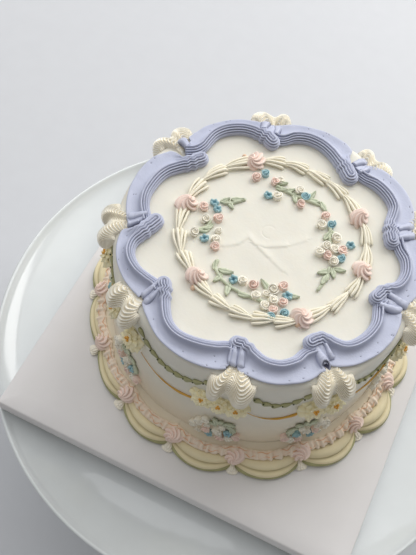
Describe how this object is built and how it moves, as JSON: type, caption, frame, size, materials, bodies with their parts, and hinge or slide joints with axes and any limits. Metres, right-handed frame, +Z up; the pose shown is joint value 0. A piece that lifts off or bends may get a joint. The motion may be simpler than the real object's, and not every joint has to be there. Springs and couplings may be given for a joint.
{
  "type": "vintage cake on stand",
  "caption": "Round iced cake with a piped scalloped border, shells, garlands and flowers, on a square board on a low pedestal stand.",
  "frame": {"origin": "middle of the stand's foot, on the surface it rests on", "axes": "+Z up along the stand's axis; -Y towards the side of the cake that faces the viewer"},
  "size_m": [0.2868, 0.2868, 0.1946],
  "materials": {
    "icing": "smooth ivory icing",
    "lavender": "soft satin, piped icing",
    "cream": "soft satin, piped icing",
    "yellow": "soft satin, piped icing",
    "sage": "soft satin, piped icing",
    "celadon": "soft satin, piped icing",
    "card": "matt coated card",
    "glaze": "glossy pale glaze"
  },
  "bodies": {
    "root": {"stand": "glaze", "board": "card", "cake": "icing", "border_lobe_1": "lavender", "shell_pair_1": "cream", "blossoms_1": "yellow", "bouquet_1": "sage", "border_lobe_2": "lavender", "shell_pair_2": "cream", "blossoms_2": "yellow", "bouquet_2": "sage", "border_lobe_3": "lavender", "shell_pair_3": "cream", "blossoms_3": "yellow", "bouquet_3": "sage", "border_lobe_4": "lavender", "shell_pair_4": "cream", "blossoms_4": "yellow", "bouquet_4": "sage", "border_lobe_5": "lavender", "shell_pair_5": "cream", "blossoms_5": "yellow", "bouquet_5": "sage", "border_lobe_6": "lavender", "shell_pair_6": "cream", "blossoms_6": "yellow", "bouquet_6": "sage", "border_lobe_7": "lavender", "shell_pair_7": "cream", "blossoms_7": "yellow", "bouquet_7": "sage", "border_lobe_8": "lavender", "shell_pair_8": "cream", "blossoms_8": "yellow", "bouquet_8": "sage", "border_lobe_9": "lavender", "shell_pair_9": "cream", "blossoms_9": "yellow", "bouquet_9": "sage", "base_swags_1": "celadon", "base_swags_2": "celadon", "base_swags_3": "celadon", "base_swags_4": "celadon", "base_swags_5": "celadon", "base_swags_6": "celadon", "base_swags_7": "celadon", "base_swags_8": "celadon", "wreath_1": "cream", "wreath_2": "cream", "wreath_3": "cream", "wreath_4": "cream", "wreath_5": "cream", "wreath_6": "cream", "spray_1": "sage", "spray_2": "sage", "spray_3": "sage", "spray_4": "sage"}
  },
  "joints": []
}
